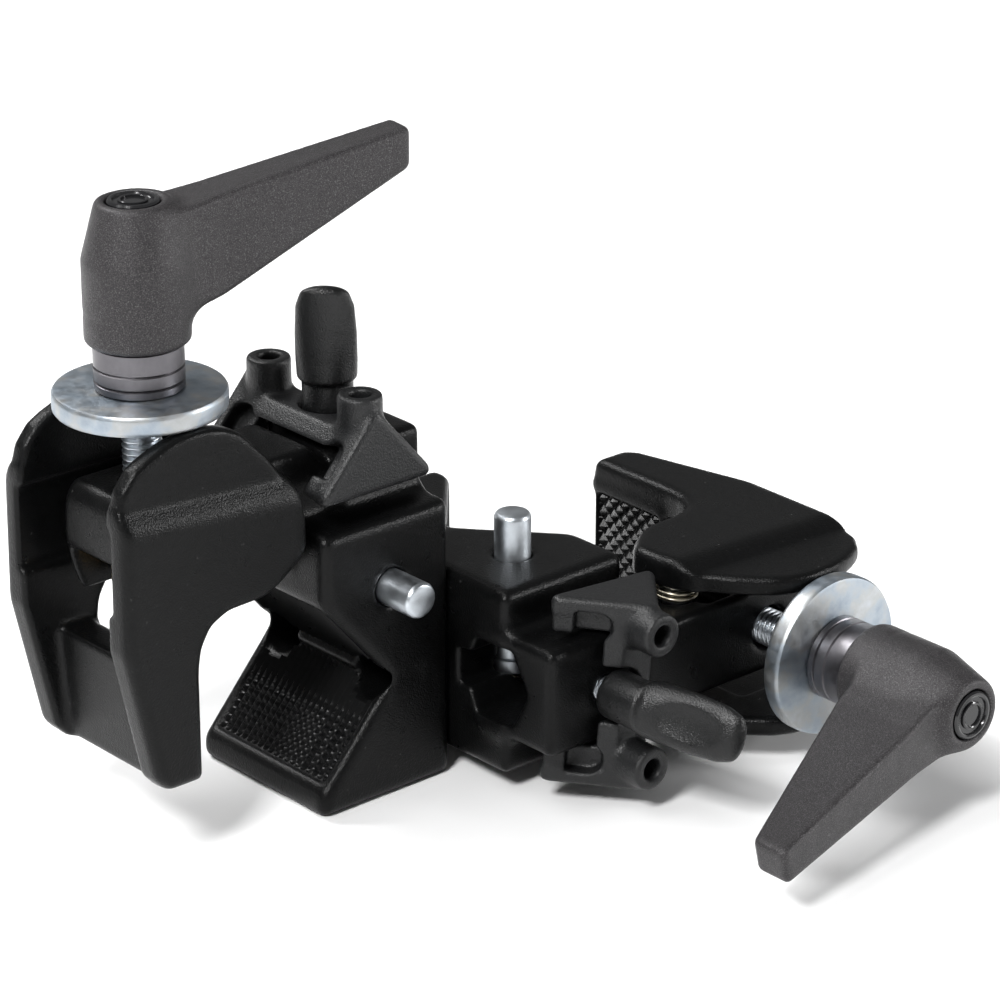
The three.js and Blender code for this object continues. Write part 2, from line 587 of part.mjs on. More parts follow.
const assembly = new THREE.Group();
const left = clamp('left');
left.rotation.z = Math.PI;
left.position.set(-BACK_GAP / 2, 0, -SWIVEL_HEIGHT);
const right = clamp('right');
right.rotation.x = Math.PI / 2;
right.position.set(BACK_GAP / 2, SWIVEL_HEIGHT, 0);
assembly.add(left, right);
assembly.add(named('swivel_stud', swivelStud(), brightSteel()));
assembly.add(named('swivel_friction_disc', frictionDisc(), zinc()));

// The origin is under the middle of the whole clamp, at the height of its lowest point.
assembly.updateMatrixWorld(true);
const extent = new THREE.Box3().setFromObject(assembly, true);
const middle = extent.getCenter(new THREE.Vector3());
assembly.position.set(-middle.x, -middle.y, -extent.min.z);

export default assembly;
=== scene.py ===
"""Double super clamp: two cast grip clamps joined back to back, the right one turned a quarter.

Each clamp is drawn in its own frame in millimetres: u from its back face towards the jaw, w from the foot
of its V body up to the lever, v across it towards the head of its spring pin. place() puts that frame
where the left or the right clamp stands.
"""
import math

import bmesh
import bpy
import numpy as np
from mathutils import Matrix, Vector


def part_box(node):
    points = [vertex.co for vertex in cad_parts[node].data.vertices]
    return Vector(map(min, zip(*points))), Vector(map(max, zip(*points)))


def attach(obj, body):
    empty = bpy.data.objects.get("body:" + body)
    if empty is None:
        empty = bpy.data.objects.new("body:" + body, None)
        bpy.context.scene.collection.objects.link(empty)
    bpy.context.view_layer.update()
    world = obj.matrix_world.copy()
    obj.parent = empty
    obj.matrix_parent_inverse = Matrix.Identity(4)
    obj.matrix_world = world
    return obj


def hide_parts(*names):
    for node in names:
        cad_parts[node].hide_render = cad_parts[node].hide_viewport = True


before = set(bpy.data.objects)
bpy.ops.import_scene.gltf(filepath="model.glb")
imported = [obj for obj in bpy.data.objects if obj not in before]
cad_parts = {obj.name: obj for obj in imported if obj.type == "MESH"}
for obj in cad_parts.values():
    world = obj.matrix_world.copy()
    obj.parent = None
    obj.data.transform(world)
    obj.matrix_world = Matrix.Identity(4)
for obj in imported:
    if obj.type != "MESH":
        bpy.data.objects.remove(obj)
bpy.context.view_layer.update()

# The swivel between the two backs is the point both clamps are placed from. The left clamp stands
# upright on its foot, and the right one lies with its screw pointing to the front.
SWIVEL = np.mean(np.array(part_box("swivel_friction_disc"), float), axis=0)
SWIVEL_HEIGHT = 23.2
BACK_GAP = -2000 * (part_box("left_body_casting")[1][0] - SWIVEL[0])
SIDES = ("left", "right")


def place(side, points):
    """Points (u, v, w) in mm in the clamp's own frame, turned and moved to the model's frame in metres."""
    u, v, w = np.asarray(points, float).T
    depth = u + BACK_GAP / 2
    rise = w - SWIVEL_HEIGHT
    turned = np.stack([-depth, -v, rise] if side == "left" else [depth, -rise, v], axis=1)
    return SWIVEL + turned / 1000


# Camera, floor and lights: a long lens from the front left, a pale table in a dim room, a broad soft
# overhead light, and soft boxes at the left shoulder, the right and behind that draw the edges.
camera_data = bpy.data.cameras.new("camera")
camera_data.lens = 140.55
camera_data.clip_end = 20
camera = bpy.data.objects.new("camera", camera_data)
camera.location = Vector(SWIVEL) + Vector((-0.46532, -0.56106, 0.33115))
camera.rotation_euler = (math.radians(90 - 22.51), 0, math.radians(-41.47))
bpy.context.collection.objects.link(camera)
bpy.context.scene.camera = camera

table = bpy.data.meshes.new("table_top")
table.from_pydata([(-4, -4, 0), (4, -4, 0), (4, 4, 0), (-4, 4, 0)], [], [(0, 1, 2, 3)])
table_top = bpy.data.objects.new("table_top", table)
bpy.context.collection.objects.link(table_top)
paper = bpy.data.materials.new("white_paper")
paper.use_nodes = True
paper.node_tree.nodes["Principled BSDF"].inputs["Base Color"].default_value = (0.93, 0.93, 0.93, 1)
paper.node_tree.nodes["Principled BSDF"].inputs["Roughness"].default_value = 0.9
table.materials.append(paper)

room = bpy.data.worlds.new("dim_room")
room.use_nodes = True
room.node_tree.nodes["Background"].inputs["Color"].default_value = (1, 1, 1, 1)
room.node_tree.nodes["Background"].inputs["Strength"].default_value = 0.22
bpy.context.scene.world = room
bpy.context.scene.view_settings.view_transform = "Standard"


def soft_box(name, place_at, size, watts):
    """A square area light of that size, aimed at the swivel."""
    data = bpy.data.lights.new(name, "AREA")
    data.energy = watts
    data.size = size
    light = bpy.data.objects.new(name, data)
    light.location = place_at
    light.rotation_euler = (Vector(SWIVEL) - Vector(place_at)).to_track_quat("-Z", "Y").to_euler()
    bpy.context.collection.objects.link(light)


soft_box("key_box", (-0.75, -0.3, 0.85), 0.24, 13)
soft_box("side_box", (0.75, -0.7, 0.32), 0.2, 6)
soft_box("back_box", (-0.2, 0.85, 0.95), 0.3, 8)

overhead = bpy.data.lights.new("overhead", "SUN")
overhead.energy = 1.6
overhead.angle = math.radians(40)
overhead_light = bpy.data.objects.new("overhead", overhead)
overhead_light.rotation_euler = (math.radians(-18), math.radians(-24), 0)
bpy.context.collection.objects.link(overhead_light)

# Black powder coat, the finish of the four castings: sprayed powder baked on aluminium, satin, with a
# fine orange peel that breaks the light into specks along every edge.


def finish(name, base, roughness, metallic=0.0):
    """A new material whose surface has one colour, roughness and metallic; returns its parts."""
    material = bpy.data.materials.new(name)
    material.use_nodes = True
    nodes = material.node_tree.nodes
    surface = nodes["Principled BSDF"]
    surface.inputs["Base Color"].default_value = (*base, 1)
    surface.inputs["Roughness"].default_value = roughness
    surface.inputs["Metallic"].default_value = metallic
    return material, nodes, material.node_tree.links, surface


def grain(nodes, links, scale, detail=3.0, rough=0.55):
    """Noise of that many cells to the metre, on the piece's own place in the model."""
    where = nodes.new("ShaderNodeTexCoord")
    noise = nodes.new("ShaderNodeTexNoise")
    noise.inputs["Scale"].default_value = scale
    noise.inputs["Detail"].default_value = detail
    noise.inputs["Roughness"].default_value = rough
    links.new(where.outputs["Object"], noise.inputs["Vector"])
    return noise.outputs["Fac"]


def ramp(nodes, links, source, stops):
    """Colours blended along a 0 to 1 value: stops are (place, colour) pairs."""
    node = nodes.new("ShaderNodeValToRGB")
    while len(node.color_ramp.elements) < len(stops):
        node.color_ramp.elements.new(0.5)
    for element, (at, colour) in zip(node.color_ramp.elements, stops):
        element.position = at
        element.color = (*colour, 1)
    links.new(source, node.inputs["Fac"])
    return node.outputs["Color"]


def spread(nodes, links, source, low, high, start=0.3, end=0.7):
    """The value from start to end stretched to low to high."""
    node = nodes.new("ShaderNodeMapRange")
    node.inputs["From Min"].default_value = start
    node.inputs["From Max"].default_value = end
    node.inputs["To Min"].default_value = low
    node.inputs["To Max"].default_value = high
    links.new(source, node.inputs["Value"])
    return node.outputs["Result"]


def relief(nodes, links, surface, source, strength, depth, under=None):
    """A bump of that depth in metres on the surface, over another bump if one is given."""
    node = nodes.new("ShaderNodeBump")
    node.inputs["Strength"].default_value = strength
    node.inputs["Distance"].default_value = depth
    links.new(source, node.inputs["Height"])
    if under is not None:
        links.new(under, node.inputs["Normal"])
    links.new(node.outputs["Normal"], surface.inputs["Normal"])
    return node.outputs["Normal"]


def powder_coat(name, peel=0.85):
    """Near-black satin coat: fine orange peel over a slower waviness, and a few pale dust specks."""
    material, nodes, links, surface = finish(name, (0.002, 0.0021, 0.0022), 0.3)
    peel_noise = grain(nodes, links, 3200, 1.0)
    wave = grain(nodes, links, 260, 2.0)
    links.new(spread(nodes, links, wave, 0.27, 0.33), surface.inputs["Roughness"])
    dust = ramp(nodes, links, grain(nodes, links, 900, 1.0, 0.4),
                [(0.0, (0.0016, 0.0017, 0.0018)), (0.76, (0.003, 0.0031, 0.0032)),
                 (0.82, (0.03, 0.03, 0.03))])
    links.new(dust, surface.inputs["Base Color"])
    slow = relief(nodes, links, surface, wave, 0.05, 0.0003)
    relief(nodes, links, surface, peel_noise, peel, 0.00012, slow)
    surface.inputs["Specular IOR Level"].default_value = 0.15
    return material


black_coat = powder_coat("black_powder_coat")
grip_coat = powder_coat("worn_powder_coat_on_grips", 0.25)

# Body castings: a V block with a stud boss on its shoulder and a heavy arm to the front that carries
# the pivot and the screw's nut. Cast aluminium, so every edge and inside corner is rounded.
FOOT = -1.2
SHOULDER = 59.0
HALF_WIDTH = 20.0
V_BOTTOM = (15.2, 24.1)
NOSE = (33.4, 3.6)
BROW = (32.2, 43.8)
BOSS_TOP = 72.5
PIVOT = (41.2, 64.6)
SCREW_U = 59.9
PIN_AT = (15.1, 44.2)
WING_U = 14.5
PEG_OFFSET = 14.2
ARM_SWEEP = 31.4
ARM_TOP = 73.6
SWELL_TOP = 73.2
POCKET_FOOT = 53
POCKET_TOP = 70.8
SOCKET_FLATS = 16.5
SOCKET_HEIGHT = 55.7
SOCKET_DEPTH = 19.5
KEYWAY_HALF = 3.9
KEYWAY_FLOOR = 44.8
PIN_BORE = 3.9
PIN_SPRING_BORE = 5.15
PIVOT_BORE = 3.55
SCREW_BORE = 4.7
NUT_BORE = 7.2
# The recess for the ribs: where it starts and ends up each slope from the V's root, and how deep it is.
GRIP_START = 1.3
GRIP_END = 24.6
GRIP_HALF = 17.4
GRIP_DEPTH = 1.1


def rounded(points, radii):
    """The outline with each corner swept off by a quadratic curve that starts that far from it."""
    points = np.array(points, float)
    radii = np.broadcast_to(radii, len(points))
    t = np.linspace(0, 1, 6)[:, None]
    runs = []
    for before, corner, after, radius in zip(np.roll(points, 1, 0), points, np.roll(points, -1, 0), radii):
        reach_in = min(radius, 0.45 * np.linalg.norm(before - corner))
        reach_out = min(radius, 0.45 * np.linalg.norm(after - corner))
        start = corner + (before - corner) / np.linalg.norm(before - corner) * reach_in
        end = corner + (after - corner) / np.linalg.norm(after - corner) * reach_out
        runs.append((1 - t) ** 2 * start + 2 * t * (1 - t) * corner + t ** 2 * end)
    return np.concatenate(runs)


def block_of_space(low, high, step):
    """Three broadcast axes of a regular grid of points from low to high."""
    axes = [np.arange(a, b + step, step) for a, b in zip(low, high)]
    return axes[0][:, None, None], axes[1][None, :, None], axes[2][None, None, :]


def outline_distance(outline, a, b):
    """Distance from points (a, b) to a closed outline, negative inside it."""
    nearest = np.full(np.broadcast(a, b).shape, 1e9)
    inside = np.zeros(nearest.shape, bool)
    for (ax, ay), (bx, by) in zip(outline, np.roll(outline, -1, 0)):
        ex, ey = bx - ax, by - ay
        t = np.clip(((a - ax) * ex + (b - ay) * ey) / (ex * ex + ey * ey + 1e-12), 0, 1)
        nearest = np.minimum(nearest, (a - ax - t * ex) ** 2 + (b - ay - t * ey) ** 2)
        crosses = (ay > b) != (by > b)
        inside ^= crosses & (a < ax + (b - ay) * ex / (ey if abs(ey) > 1e-9 else 1e-9))
    return np.where(inside, -1, 1) * np.sqrt(nearest)


def between(x, low, high):
    """Distance outside the interval low to high, negative within it."""
    return np.maximum(low - x, x - high)


def both(radius, *fields):
    """The space inside all the fields, its meeting edges rounded by that radius."""
    if radius == 0:
        return np.maximum.reduce(np.broadcast_arrays(*fields))
    lifted = [field + radius for field in fields]
    outside = np.sqrt(sum(np.maximum(field, 0) ** 2 for field in lifted))
    return outside + np.minimum(np.maximum.reduce(np.broadcast_arrays(*lifted)), 0) - radius


def either(radius, a, b):
    """The space inside either field, with a fillet of that radius where they meet."""
    if radius == 0:
        return np.minimum(a, b)
    near = np.maximum(radius - np.abs(a - b), 0) / radius
    return np.minimum(a, b) - near ** 2 * radius / 4


def without(a, b):
    """The space inside a and outside b."""
    return np.maximum(a, -b)


def softened(field, spread_by):
    """The field averaged over a bell curve of that many grid steps, which rounds every edge and corner."""
    reach = int(math.ceil(spread_by * 2.5))
    bell = np.exp(-0.5 * (np.arange(-reach, reach + 1) / spread_by) ** 2)
    bell /= bell.sum()
    for axis in range(3):
        padded = np.pad(field, [(reach, reach) if k == axis else (0, 0) for k in range(3)], mode="edge")
        length = field.shape[axis]
        windows = [tuple(slice(k, k + length) if a == axis else slice(None) for a in range(3))
                   for k in range(len(bell))]
        field = sum(weight * padded[window] for weight, window in zip(bell, windows))
    return field


def skin(field, low, step):
    """The surface where the field is zero: in each grid cell it crosses, one point at the mean of the
    crossings on the cell's edges, joined to its neighbours by quads, one for each crossed grid edge."""
    solid = field < 0
    corner_slices = [(slice(i, i - 1 or None), slice(j, j - 1 or None), slice(k, k - 1 or None))
                     for i in (0, 1) for j in (0, 1) for k in (0, 1)]
    count = sum(solid[s].astype(np.int8) for s in corner_slices)
    cells = np.argwhere((count > 0) & (count < 8))
    corners = {(i, j, k): field[cells[:, 0] + i, cells[:, 1] + j, cells[:, 2] + k]
               for i in (0, 1) for j in (0, 1) for k in (0, 1)}
    total = np.zeros((len(cells), 3))
    hits = np.zeros(len(cells))
    for axis in range(3):
        for a in (0, 1):
            for b in (0, 1):
                start = np.insert([a, b], axis, 0)
                end = np.insert([a, b], axis, 1)
                f0, f1 = corners[tuple(start)], corners[tuple(end)]
                hit = (f0 < 0) != (f1 < 0)
                t = np.where(hit, f0 / np.where(hit, f0 - f1, 1), 0)
                total += hit[:, None] * (start + t[:, None] * (end - start))
                hits += hit
    points = low + (cells + total / hits[:, None]) * step
    number = np.full(count.shape, -1, np.int64)
    number[tuple(cells.T)] = np.arange(len(cells))
    quads = []
    for axis in range(3):
        ahead = [slice(None)] * 3
        behind = [slice(None)] * 3
        behind[axis], ahead[axis] = slice(None, -1), slice(1, None)
        entering = solid[tuple(ahead)]
        edge = np.argwhere(solid[tuple(behind)] != entering)
        edge = edge[(np.delete(edge, axis, 1) > 0).all(1)]
        one, two = [(1, 2), (2, 0), (0, 1)][axis]
        ring = []
        for back_one, back_two in ((1, 1), (0, 1), (0, 0), (1, 0)):
            cell = edge.copy()
            cell[:, one] -= back_one
            cell[:, two] -= back_two
            ring.append(number[tuple(cell.T)])
        quad = np.stack(ring, 1)
        inward = entering[tuple(edge.T)]
        quad[inward] = quad[inward][:, ::-1]
        quads.append(quad)
    return points, np.concatenate(quads)


def solid_mesh(name, side, points, faces, material, smooth_angle=None):
    """A mesh object from points in the clamp's frame, its doubled points merged and faces turned outwards."""
    mesh = bpy.data.meshes.new(name)
    mesh.from_pydata(place(side, points), [], [tuple(face) for face in faces])
    work = bmesh.new()
    work.from_mesh(mesh)
    bmesh.ops.remove_doubles(work, verts=work.verts, dist=1e-6)
    bmesh.ops.dissolve_degenerate(work, edges=work.edges, dist=1e-7)
    bmesh.ops.recalc_face_normals(work, faces=work.faces)
    work.to_mesh(mesh)
    work.free()
    mesh.shade_smooth()
    if smooth_angle is not None:
        mesh.set_sharp_from_angle(angle=math.radians(smooth_angle))
    mesh.materials.append(material)
    piece = bpy.data.objects.new(name, mesh)
    bpy.context.collection.objects.link(piece)
    return piece


def fit(piece, side, body, finish_slot, *nodes):
    """The piece moves with that body of its clamp, and stands for those nodes."""
    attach(piece, f"{side}_{body}")
    if nodes:
        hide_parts(*[f"{side}_{node}" for node in nodes])


def stand_in(node, side, body, shape, material, smooth_angle=None):
    """The piece for one node, from its points and faces."""
    piece = solid_mesh(f"{side}_{node}_look", side, *shape, material, smooth_angle)
    fit(piece, side, body, node, node)


def cast_surface(field, low, step, soften):
    """The skin of a softened field."""
    return skin(softened(field, soften), np.array(low, float), step)


CAST_STEP = 0.5


def body_surface():
    """V block, boss and arm as one field: prisms joined with fillets, then the bores and pockets cut."""
    low, high = (-2, -23, FOOT - 3), (76, 23, 76)
    u, v, w = block_of_space(low, high, CAST_STEP)
    span = np.abs(v)
    block = outline_distance(rounded(
        [(0, FOOT), (NOSE[0], FOOT), NOSE, V_BOTTOM, BROW, (BROW[0], SHOULDER), (0, SHOULDER)],
        [1.5, 2, 1.5, 4.2, 2, 2.5, 1.5]), u, w)
    body = both(2.2, block, span - HALF_WIDTH)
    boss = both(1.8, between(u, 0, 21.2), span - 11.4, between(w, 50, BOSS_TOP))
    swell = both(0, np.hypot(u - WING_U, v) - (3.6 + (SWELL_TOP - w) * 2.4), between(w, 70, SWELL_TOP))
    body = either(3.5, body, either(1.5, boss, swell))
    sweep = [(PIVOT[0] + ARM_SWEEP * math.cos(a), PIVOT[1] + ARM_SWEEP * math.sin(a))
             for a in np.radians(np.linspace(-27, 11, 8))]
    arm = outline_distance(rounded(
        [(18, 50.3), *sweep, (70, ARM_TOP), (26, ARM_TOP), (18, 62)], 1.2), u, w)
    arm = both(1.4, arm, span - 9.5)
    side_pocket = both(0.8, between(u, 43.5, 51.5), 6 - span, between(w, POCKET_FOOT, POCKET_TOP))
    front_pocket = both(0.8, between(u, 53.6, 60), 7.4 - span, between(w, POCKET_FOOT, POCKET_TOP))
    arm = without(without(arm, side_pocket), front_pocket)
    body = either(2.5, body, arm)
    hexagon = np.maximum(span, span / 2 + np.abs(w - SOCKET_HEIGHT) * math.sqrt(0.75)) - SOCKET_FLATS / 2
    body = without(body, both(0, hexagon, u - SOCKET_DEPTH))
    keyway = both(0, span - KEYWAY_HALF, between(w, KEYWAY_FLOOR, SOCKET_HEIGHT), u - SOCKET_DEPTH)
    body = without(body, keyway)
    pin_bore = np.hypot(u - PIN_AT[0], w - PIN_AT[1])
    body = without(body, both(0, pin_bore - PIN_BORE, -2 - v))
    body = without(body, both(0, pin_bore - PIN_SPRING_BORE, v + 1.7))
    body = without(body, both(0, np.hypot(u - WING_U, v) - 3.05, 56 - w))
    body = without(body, np.hypot(u - PIVOT[0], w - PIVOT[1]) - PIVOT_BORE)
    nut_bore = np.hypot(u - SCREW_U, v)
    body = without(body, nut_bore - SCREW_BORE)
    body = without(body, both(0, nut_bore - NUT_BORE, w - 65.8))
    body = without(body, both(0, SCREW_U - u, span - 7.5, w - 60.2))
    peg_pocket = np.hypot(span - PEG_OFFSET, w - V_BOTTOM[1])
    body = without(body, both(0, peg_pocket - 4.8, 7.7 - u, u - 26))
    swivel_bore = np.hypot(v, w - SWIVEL_HEIGHT)
    body = without(body, both(0, swivel_bore - 5.15, u - 12))
    body = without(body, both(0, swivel_bore - 10.9, u - 0.75))
    for start, end in ((V_BOTTOM, NOSE), (V_BOTTOM, BROW)):
        run = np.array(end) - start
        run /= np.linalg.norm(run)
        along = (u - start[0]) * run[0] + (w - start[1]) * run[1]
        out = np.abs((u - start[0]) * run[1] - (w - start[1]) * run[0])
        recess = both(0, between(along, GRIP_START, GRIP_END), span - GRIP_HALF, out - GRIP_DEPTH)
        body = without(body, recess)
    return cast_surface(body, low, CAST_STEP, 0.55 / CAST_STEP)


body_shape = body_surface()
for side in SIDES:
    stand_in("body_casting", side, "body", body_shape, black_coat)

# Grip faces of the V: cast serrations set a little below the flanks' borders. Ribs run up both slopes,
# and on the lower one cross cuts that deepen towards the nose turn them into small pyramids.
RIB_PITCH = 1.75
RIB_COUNT = 20
RIB_VALLEY = -1.15
RIB_HEIGHT = 0.95
RIB_END = 24.8
RIB_FLOOR = -2.2


def sawtooth(x, pitch):
    """A triangle wave of that pitch, 0 in the valleys and 1 on the crests."""
    return 1 - np.abs((x / pitch) % 1 * 2 - 1)


def grip_sheet(across, along, height, floor):
    """A closed plate: the top is height(across, along) on a grid, the underside lies flat at the floor."""
    a, b = np.meshgrid(across, along, indexing="ij")
    top = np.stack([a, b, height(a, b)], -1).reshape(-1, 3)
    under = np.stack([a, b, np.full(a.shape, floor)], -1).reshape(-1, 3)
    rows, columns = a.shape
    cell = (np.arange(rows - 1)[:, None] * columns + np.arange(columns - 1)[None, :]).ravel()
    quads = np.stack([cell, cell + columns, cell + columns + 1, cell + 1], 1)
    rim = np.concatenate([np.arange(columns), np.arange(1, rows) * columns + columns - 1,
                          (rows - 1) * columns + np.arange(columns - 2, -1, -1),
                          np.arange(rows - 2, 0, -1) * columns])
    ahead = np.roll(rim, -1)
    shift = rows * columns
    walls = np.stack([rim, ahead, ahead + shift, rim + shift], 1)
    return np.concatenate([top, under]), np.concatenate([quads, quads[:, ::-1] + shift, walls])


def flank_points(sheet, start, end):
    """A grip sheet (across, along, height) laid on the flank that runs from start to end of the V."""
    run = np.array(end) - start
    run /= np.linalg.norm(run)
    normal = np.array([run[1], -run[0]]) * (1 if end[1] < start[1] else -1)
    normal *= np.sign(normal[0])
    across, along, height = sheet.T
    return np.stack([start[0] + along * run[0] + height * normal[0], across,
                     start[1] + along * run[1] + height * normal[1]], 1)


def lower_grip(across, along):
    """Ribs up the slope, crossed by cuts that begin a third of the way down the flank and reach full
    depth a little past its middle."""
    cut_start, cut_run = 9, 5
    crossed = np.clip((along - cut_start) / cut_run, 0, 1)
    cuts = np.maximum(sawtooth(along, RIB_PITCH), 1 - crossed)
    return RIB_VALLEY + RIB_HEIGHT * np.minimum(sawtooth(across, RIB_PITCH), cuts)


def upper_grip(across, _along):
    """Plain ribs up the slope, at one height all along."""
    return RIB_VALLEY + RIB_HEIGHT * sawtooth(across, RIB_PITCH)


def rib_start(across):
    """Where a rib begins: by the V's root, or at the rim of the round peg pocket it runs into."""
    rim_half, rim_reach = 4.9, 6.6
    off_axis = min(abs(abs(across) - PEG_OFFSET) / rim_half, 1)
    return max(GRIP_START, rim_reach * math.sqrt(1 - off_axis ** 2))


def ribbed_flank(height):
    """One grip sheet for each rib, as one set of points and faces."""
    points, faces, count = [], [], 0
    for middle in (np.arange(RIB_COUNT) - (RIB_COUNT - 1) / 2) * RIB_PITCH:
        across = middle + np.linspace(-0.5, 0.5, 7) * RIB_PITCH
        along = np.arange(rib_start(middle), RIB_END, RIB_PITCH / 6)
        sheet, quads = grip_sheet(across, along, height, RIB_FLOOR)
        points.append(sheet)
        faces.append(quads + count)
        count += len(sheet)
    return np.concatenate(points), np.concatenate(faces)


for side in SIDES:
    for name, end, height in (("lower", NOSE, lower_grip), ("upper", BROW, upper_grip)):
        points, faces = ribbed_flank(height)
        plate = solid_mesh(f"{side}_{name}_v_grip", side, flank_points(points, V_BOTTOM, end), faces,
                           grip_coat, 20)
        fit(plate, side, "body", "body_casting")

# Jaw castings: two plates that straddle the arm, with the washer's cam on their tops, joined at the
# foot by the gripping web. Each plate has a thick lower half that steps down beside the cam.
CAM_RADIUS = 18.7
CAM_HEIGHT = 23.4
JAW_FOOT = 17.3
WEB_TOP = 41.2
PAD_U = 62.0
PAD_HALF = 12.6
PAD_FOOT = 18.6
PAD_TOP = 37.4
# The thick half's top edge starts here and this is its upward normal, then the chamfer beside it.
THICK_TOP = (38.8, 73.6)
THICK_RISE = (0.0795, 0.9968)
CHAMFER_FACE = (0.857, 0.5145)
CHAMFER_DROP = 4.2


def jaw_outlines():
    """The plate's outline with its involute cam, and the outline of its thick lower half."""
    inside = [(36.6, 70.2), (35.4, 64), (35.4, 58.4), (36.3, 57), (39.2, 54.4), (42.8, 52), (46.2, 50.6),
              (55, 50.3), (59, 48.4), (61.3, 44.6), (PAD_U, 40), (PAD_U, JAW_FOOT)]
    outside = [(70.4, JAW_FOOT), (73, 20), (79.3, 48), (79.1, 74.4)]
    turn = np.radians(np.linspace(-31, 41, 12))
    height = CAM_HEIGHT - CAM_RADIUS * turn
    cam = np.stack([PIVOT[0] + CAM_RADIUS * np.cos(turn) - height * np.sin(turn),
                    PIVOT[1] + CAM_RADIUS * np.sin(turn) + height * np.cos(turn)], 1)
    plate = np.array([*outside, (77.5, 80.1), *cam, (43.6, 79.2), (40.2, 74.6), *inside])
    thick = np.array([*outside[:3], (78.9, 76.8), THICK_TOP, *inside])
    return plate, rounded(thick, 1.2)


def jaw_surface():
    """Both plates, mirrored about the middle, the web between them and the hollows in their inner faces."""
    low, high = (32, -23, 14), (82, 23, 92)
    u, v, w = block_of_space(low, high, CAST_STEP)
    span = np.abs(v)
    plate, thick = jaw_outlines()
    jaw = both(1.1, outline_distance(plate, u, w), between(span, 13.5, 17.7))
    heel = both(2.2, outline_distance(thick, u, w), between(span, 8, 20))
    above = (w - THICK_TOP[1]) * THICK_RISE[1] - (u - THICK_TOP[0]) * THICK_RISE[0]
    shoulder = (span - HALF_WIDTH) * CHAMFER_FACE[0] + (above + CHAMFER_DROP) * CHAMFER_FACE[1]
    jaw = either(0, jaw, both(0.8, both(0, heel, 13.5 - span), shoulder))
    web = outline_distance(rounded([(PAD_U, JAW_FOOT), (69.8, JAW_FOOT), (71.6, WEB_TOP), (64.4, WEB_TOP),
                                    (PAD_U, WEB_TOP - 2.6)], 1.0), u, w)
    jaw = either(1.6, jaw, both(0, web, span - 14.5))
    jaw = without(jaw, both(1, between(u, 53, 90), span - 14.9, between(w, 55, 72.6)))
    jaw = without(jaw, both(0, np.hypot(u - PIVOT[0], w - PIVOT[1]) - PIVOT_BORE, v - 17.2))
    jaw = without(jaw, both(0, u - PAD_U - 1.35, span - PAD_HALF, between(w, PAD_FOOT, PAD_TOP)))
    return cast_surface(jaw, low, CAST_STEP, 0.5 / CAST_STEP)


jaw_shape = jaw_surface()
for side in SIDES:
    stand_in("jaw_casting", side, "jaw", jaw_shape, black_coat)

# Jaw pads: four-sided pyramids set cornerwise in staggered rows, cast into the inner face of the web.
PYRAMID_PITCH = 2.3


def pyramids(across, along):
    """Height of four-sided points on a diagonal lattice: the lower of two triangle waves at 45 degrees."""
    rising = sawtooth((across + along) / math.sqrt(2), PYRAMID_PITCH)
    falling = sawtooth((across - along) / math.sqrt(2), PYRAMID_PITCH)
    return -1.4 + 1.35 * np.minimum(rising, falling)


for side in SIDES:
    across = np.arange(-PAD_HALF, PAD_HALF + 0.01, PYRAMID_PITCH / 10)
    along = np.arange(PAD_FOOT, PAD_TOP + 0.1, PYRAMID_PITCH / 10)
    points, faces = grip_sheet(across, along, pyramids, -2.4)
    pad = np.stack([PAD_U - points[:, 2], points[:, 0], points[:, 1]], 1)
    plate = solid_mesh(f"{side}_jaw_pad", side, pad, faces, grip_coat, 15)
    fit(plate, side, "jaw", "jaw_casting")

# Turned parts: steel pins and screws, the brass nut, the zinc-plated washer and the lever's collar all
# come off a lathe, so each is one profile carried round its axis.
ROUND = 72


def turned(profile, axis, centre, count=ROUND):
    """A profile of (radius, place along the axis) carried round an axis of the clamp's frame."""
    radius, along = np.array(profile, float).T
    angle = np.arange(count) * 2 * math.pi / count
    ring_a = radius[:, None] * np.cos(angle)
    ring_b = radius[:, None] * np.sin(angle)
    level = np.broadcast_to(along[:, None], ring_a.shape)
    ordered = {"u": (level, ring_a + centre[0], ring_b + centre[1]),
               "v": (ring_a + centre[0], level, ring_b + centre[1]),
               "w": (ring_a + centre[0], ring_b + centre[1], level)}[axis]
    points = np.stack(ordered, -1).reshape(-1, 3)
    rows = len(radius)
    k = np.arange(count)
    faces = []
    for row in range(rows - 1):
        a, b = row * count + k, row * count + (k + 1) % count
        faces.append(np.stack([a, b, b + count, a + count], 1))
    return points, np.concatenate(faces)


def rod(radius, start, end, chamfer):
    """Profile of a plain rod with chamfered ends."""
    return [(0, start), (radius - chamfer, start), (radius, start + chamfer),
            (radius, end - chamfer), (radius - chamfer, end), (0, end)]


def metal(name, base, roughness, extra_relief=0.0):
    """Plated or turned metal: colour and roughness clouded by noise, over a fine grain in relief."""
    wear = 0.08
    material, nodes, links, surface = finish(name, base, roughness, 1.0)
    cloud = grain(nodes, links, 220, 4.0)
    links.new(spread(nodes, links, cloud, roughness - wear, roughness + wear), surface.inputs["Roughness"])
    dark = tuple(0.72 * c for c in base)
    bright = tuple(min(1, 1.08 * c) for c in base)
    colour = ramp(nodes, links, cloud, [(0.25, dark), (0.6, base), (1.0, bright)])
    links.new(colour, surface.inputs["Base Color"])
    relief(nodes, links, surface, grain(nodes, links, 2600, 2.0), 0.25 + extra_relief, 0.00004)
    return material


zinc_steel = metal("bright_zinc_steel", (0.6, 0.64, 0.68), 0.36, 0.3)
ground_steel = metal("ground_pin_steel", (0.6, 0.61, 0.62), 0.34, 0.2)
brass = metal("turned_brass", (0.72, 0.53, 0.27), 0.28)
blackened_steel = metal("blackened_collar_steel", (0.15, 0.145, 0.155), 0.36, 0.1)
wire_steel = metal("spring_wire", (0.5, 0.46, 0.36), 0.3)

